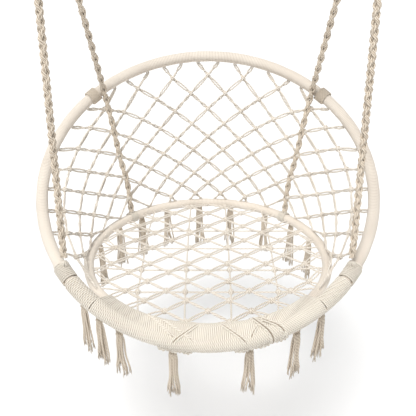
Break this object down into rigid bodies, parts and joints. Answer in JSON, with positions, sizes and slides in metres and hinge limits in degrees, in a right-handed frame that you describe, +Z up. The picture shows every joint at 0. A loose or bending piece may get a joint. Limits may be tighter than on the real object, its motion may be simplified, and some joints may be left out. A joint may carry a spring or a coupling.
{
  "type": "saucer nest swing",
  "caption": "Round knotted-cord nest swing chair: tilted outer hoop, lashed seat hoop, netted back and seat, fringe, two saddled ropes on steel rings.",
  "frame": {"origin": "midway between the lower wires of the two hanging rings, on the line that the swing turns about", "axes": "+Z up; the sitter faces -Y and the raised back is at +Y; +X is the sitter's left"},
  "size_m": [0.798, 0.7029, 1.2698],
  "materials": {
    "ring_steel": "satin",
    "tube_steel": "satin",
    "wrapping_cotton": "matte",
    "binding_cotton": "matte",
    "net_cotton": "matte",
    "rope_cotton": "matte",
    "tassel_cotton": "matte"
  },
  "bodies": {
    "hanging_rings": {"left_hang_ring": "ring_steel", "right_hang_ring": "ring_steel"},
    "swing": {"left_rope": "rope_cotton", "right_rope": "rope_cotton", "left_rope_whipping": "binding_cotton", "right_rope_whipping": "binding_cotton", "front_left_hitch": "binding_cotton", "front_right_hitch": "binding_cotton", "back_left_hitch": "rope_cotton", "back_right_hitch": "rope_cotton", "left_seat_hitch": "rope_cotton", "right_seat_hitch": "rope_cotton", "outer_hoop_tube": "tube_steel", "outer_hoop_wrapping": "wrapping_cotton", "seat_hoop_tube": "tube_steel", "seat_hoop_wrapping": "wrapping_cotton", "back_net_left": "net_cotton", "back_net_middle": "net_cotton", "back_net_right": "net_cotton", "seat_net": "net_cotton", "front_binding": "binding_cotton", "left_lashing": "rope_cotton", "right_lashing": "rope_cotton"},
    "seat_tassel_1": {"seat_tassel_1": "tassel_cotton"},
    "seat_tassel_2": {"seat_tassel_2": "tassel_cotton"},
    "seat_tassel_3": {"seat_tassel_3": "tassel_cotton"},
    "seat_tassel_4": {"seat_tassel_4": "tassel_cotton"},
    "seat_tassel_5": {"seat_tassel_5": "tassel_cotton"},
    "seat_tassel_6": {"seat_tassel_6": "tassel_cotton"},
    "seat_tassel_7": {"seat_tassel_7": "tassel_cotton"},
    "seat_tassel_8": {"seat_tassel_8": "tassel_cotton"},
    "seat_tassel_9": {"seat_tassel_9": "tassel_cotton"},
    "seat_tassel_10": {"seat_tassel_10": "tassel_cotton"},
    "seat_tassel_11": {"seat_tassel_11": "tassel_cotton"},
    "front_tassel_1": {"front_tassel_1": "tassel_cotton"},
    "front_tassel_2": {"front_tassel_2": "tassel_cotton"},
    "front_tassel_3": {"front_tassel_3": "tassel_cotton"},
    "front_tassel_4": {"front_tassel_4": "tassel_cotton"},
    "front_tassel_5": {"front_tassel_5": "tassel_cotton"},
    "front_tassel_6": {"front_tassel_6": "tassel_cotton"},
    "front_tassel_7": {"front_tassel_7": "tassel_cotton"}
  },
  "joints": [
    {"name": "swing_back_and_forth", "type": "hinge", "parent": "hanging_rings", "child": "swing", "pos_m": [0, 0, 0], "axis": [1, 0, 0], "range_deg": [-35, 35]},
    {"name": "seat_tassel_1_sway", "type": "hinge", "parent": "swing", "child": "seat_tassel_1", "pos_m": [-0.28982, -0.0525, -1.06102], "axis": [-0.1219, 0.9925, 0], "range_deg": [-25, 25]},
    {"name": "seat_tassel_2_sway", "type": "hinge", "parent": "swing", "child": "seat_tassel_2", "pos_m": [-0.28205, 0.05839, -1.06877], "axis": [0.2588, 0.9659, 0], "range_deg": [-25, 25]},
    {"name": "seat_tassel_3_sway", "type": "hinge", "parent": "swing", "child": "seat_tassel_3", "pos_m": [-0.24208, 0.14589, -1.07489], "axis": [0.5592, 0.829, 0], "range_deg": [-25, 25]},
    {"name": "seat_tassel_4_sway", "type": "hinge", "parent": "swing", "child": "seat_tassel_4", "pos_m": [-0.18769, 0.20614, -1.0791], "axis": [0.766, 0.6428, 0], "range_deg": [-25, 25]},
    {"name": "seat_tassel_5_sway", "type": "hinge", "parent": "swing", "child": "seat_tassel_5", "pos_m": [-0.11877, 0.2491, -1.08211], "axis": [0.9135, 0.4067, 0], "range_deg": [-25, 25]},
    {"name": "seat_tassel_6_sway", "type": "hinge", "parent": "swing", "child": "seat_tassel_6", "pos_m": [-0.02545, 0.27318, -1.08379], "axis": [0.9962, 0.0872, 0], "range_deg": [-25, 25]},
    {"name": "seat_tassel_7_sway", "type": "hinge", "parent": "swing", "child": "seat_tassel_7", "pos_m": [0.06569, 0.26682, -1.08335], "axis": [0.9744, -0.225, 0], "range_deg": [-25, 25]},
    {"name": "seat_tassel_8_sway", "type": "hinge", "parent": "swing", "child": "seat_tassel_8", "pos_m": [0.16328, 0.22449, -1.08039], "axis": [0.829, -0.5592, 0], "range_deg": [-25, 25]},
    {"name": "seat_tassel_9_sway", "type": "hinge", "parent": "swing", "child": "seat_tassel_9", "pos_m": [0.2301, 0.16234, -1.07604], "axis": [0.6157, -0.788, 0], "range_deg": [-25, 25]},
    {"name": "seat_tassel_10_sway", "type": "hinge", "parent": "swing", "child": "seat_tassel_10", "pos_m": [0.27074, 0.09212, -1.07113], "axis": [0.3746, -0.9272, 0], "range_deg": [-25, 25]},
    {"name": "seat_tassel_11_sway", "type": "hinge", "parent": "swing", "child": "seat_tassel_11", "pos_m": [0.2904, -0.04745, -1.06137], "axis": [-0.1045, -0.9945, 0], "range_deg": [-25, 25]},
    {"name": "front_tassel_1_sway", "type": "hinge", "parent": "swing", "child": "front_tassel_1", "pos_m": [-0.07346, -0.32766, -1.0639], "axis": [-0.9816, 0.1908, 0], "range_deg": [-25, 25]},
    {"name": "front_tassel_2_sway", "type": "hinge", "parent": "swing", "child": "front_tassel_2", "pos_m": [-0.18665, -0.29198, -1.0433], "axis": [-0.8746, 0.4848, 0], "range_deg": [-25, 25]},
    {"name": "front_tassel_3_sway", "type": "hinge", "parent": "swing", "child": "front_tassel_3", "pos_m": [-0.2317, -0.26665, -1.02867], "axis": [-0.7986, 0.6018, 0], "range_deg": [-25, 25]},
    {"name": "front_tassel_4_sway", "type": "hinge", "parent": "swing", "child": "front_tassel_4", "pos_m": [-0.26744, -0.24021, -1.01341], "axis": [-0.7193, 0.6947, 0], "range_deg": [-25, 25]},
    {"name": "front_tassel_5_sway", "type": "hinge", "parent": "swing", "child": "front_tassel_5", "pos_m": [0.24229, -0.25948, -1.02453], "axis": [-0.7771, -0.6293, 0], "range_deg": [-25, 25]},
    {"name": "front_tassel_6_sway", "type": "hinge", "parent": "swing", "child": "front_tassel_6", "pos_m": [0.18665, -0.29198, -1.0433], "axis": [-0.8746, -0.4848, 0], "range_deg": [-25, 25]},
    {"name": "front_tassel_7_sway", "type": "hinge", "parent": "swing", "child": "front_tassel_7", "pos_m": [0.08661, -0.32524, -1.0625], "axis": [-0.9744, -0.225, 0], "range_deg": [-25, 25]}
  ]
}
